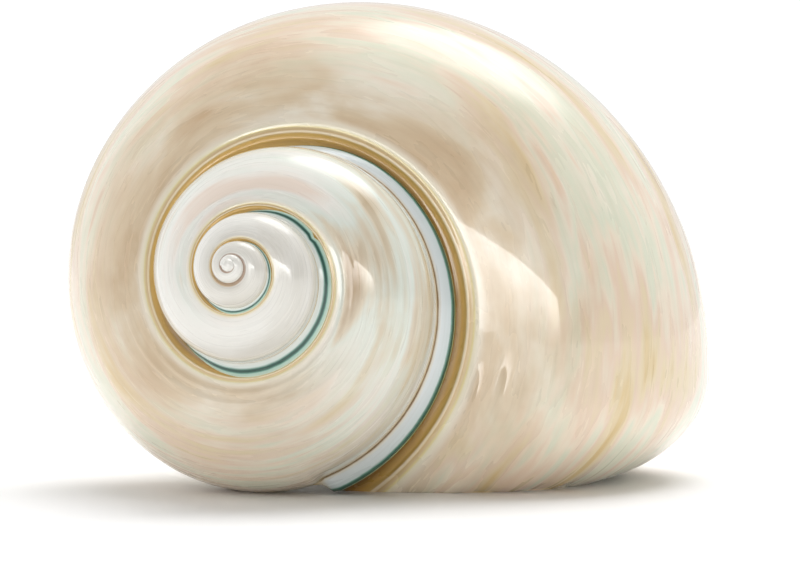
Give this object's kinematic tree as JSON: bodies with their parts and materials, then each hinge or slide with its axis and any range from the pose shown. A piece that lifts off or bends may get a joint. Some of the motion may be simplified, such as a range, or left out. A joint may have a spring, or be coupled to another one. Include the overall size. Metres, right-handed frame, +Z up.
{
  "type": "turban shell",
  "caption": "Polished pearl turban sea shell with a coiled spire and an open aperture, resting on its rim as an ornament.",
  "frame": {"origin": "middle of the base of the bounding box, on the surface that the shell rests on", "axes": "+Z up from the resting surface, the shortest way across the shell; the spire points to -Y and a little to -X; +X, the longest way, is the outer side of the last whorl"},
  "size_m": [0.0848, 0.0768, 0.0631],
  "materials": {
    "nacre": "polished mother of pearl, iridescent cream with pink, green and gold streaks"
  },
  "bodies": {
    "root": {"shell": "nacre"}
  },
  "joints": []
}
